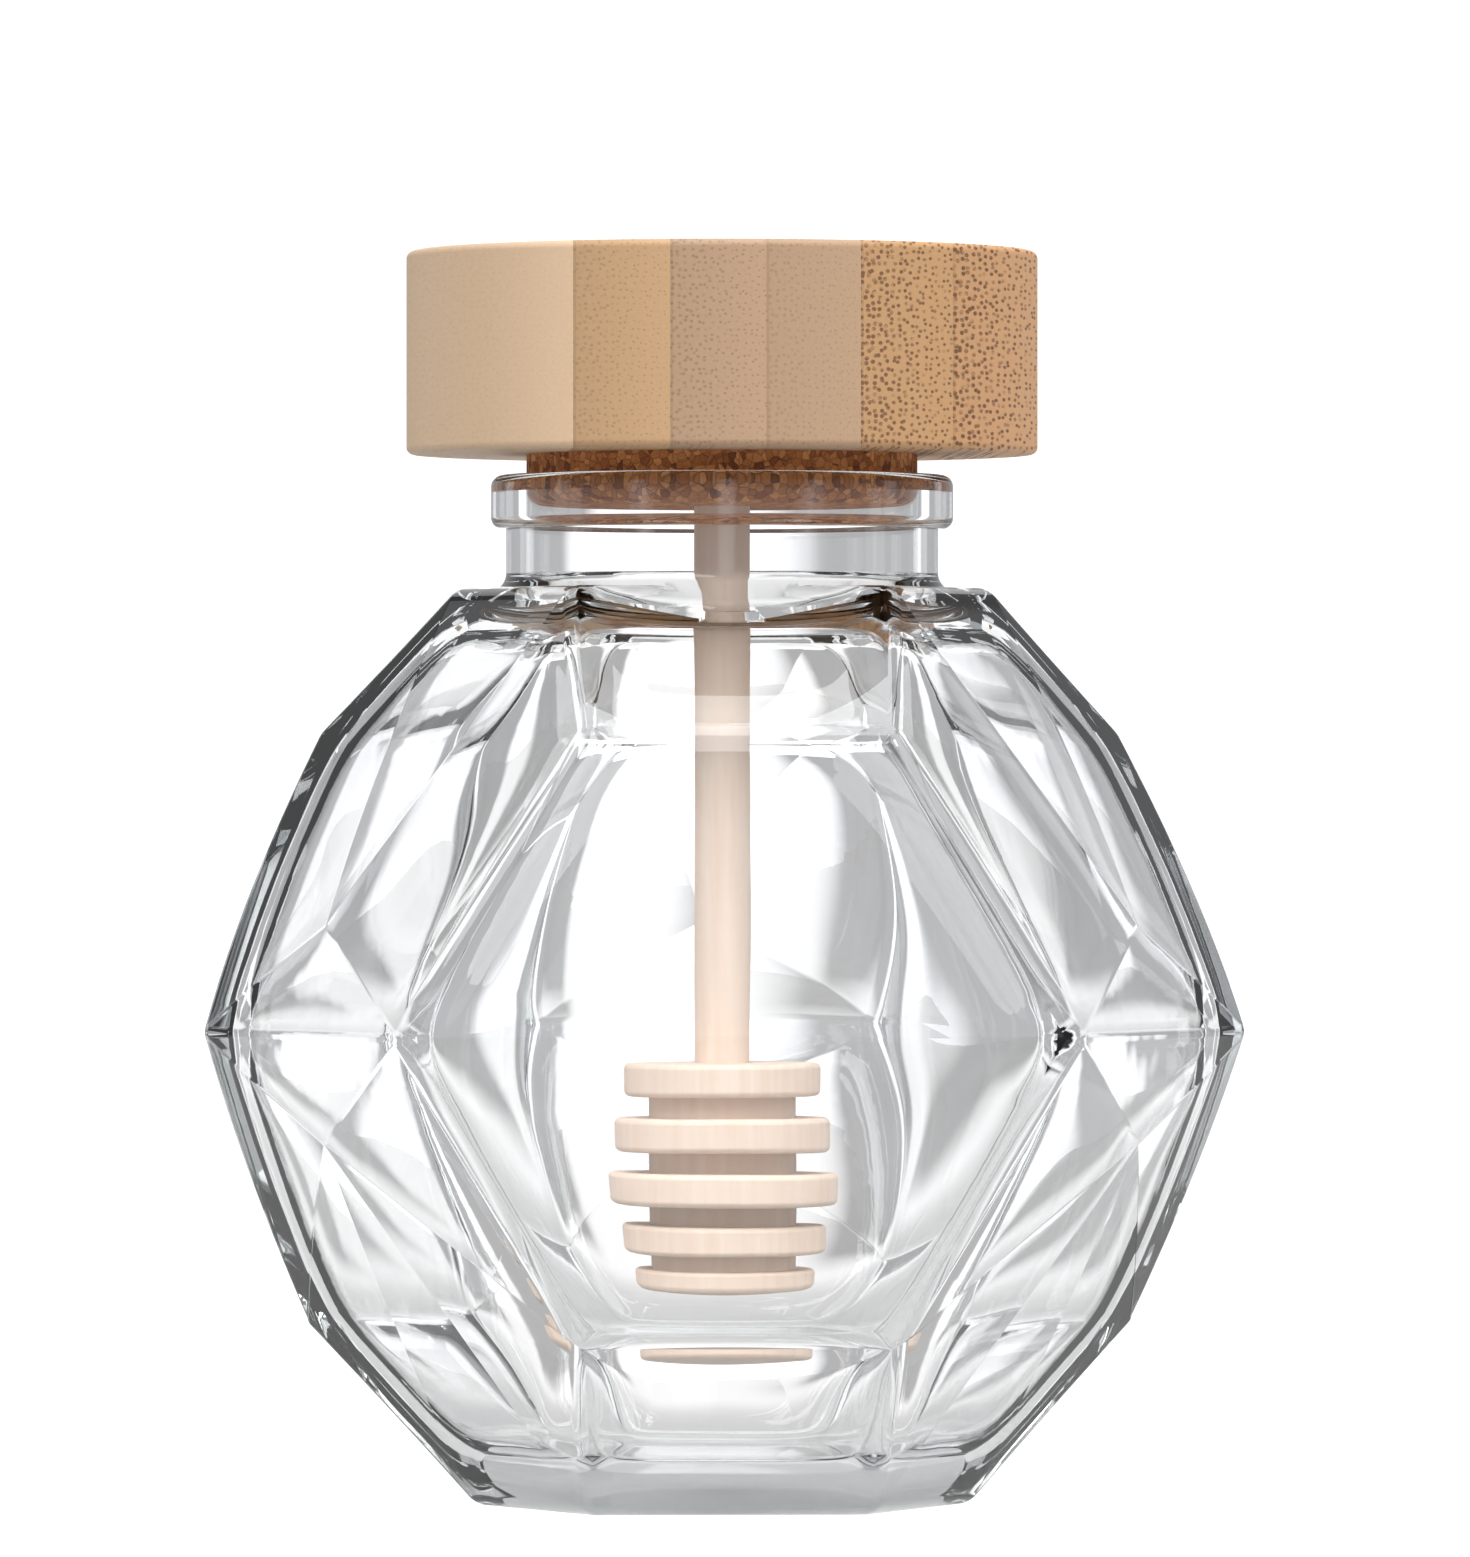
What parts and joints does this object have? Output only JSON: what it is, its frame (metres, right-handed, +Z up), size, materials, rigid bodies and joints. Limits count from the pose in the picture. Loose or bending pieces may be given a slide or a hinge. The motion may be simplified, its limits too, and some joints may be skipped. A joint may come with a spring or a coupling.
{
  "type": "honey dispenser jar",
  "caption": "Empty clear glass honey jar with faceted, honeycomb-like sides, closed by a round bamboo lid on a cork plug that carries a turned wooden dipper.",
  "frame": {"origin": "middle of the flat base, on the axis of the neck, where the jar stands", "axes": "+Z up along the neck's axis, -Y out through one of the large hexagonal faces, +X to the right seen from there"},
  "size_m": [0.1, 0.0873, 0.121],
  "materials": {
    "clear_glass": "clear pressed glass with rounded facet edges",
    "bamboo": "laminated bamboo strips, end grain towards the front, satin",
    "cork": "agglomerated cork granules, matt",
    "pale_wood": "turned beech, unvarnished"
  },
  "bodies": {
    "root": {"glass_jar": "clear_glass", "bamboo_lid": "bamboo", "cork_plug": "cork", "dipper": "pale_wood"}
  },
  "joints": []
}
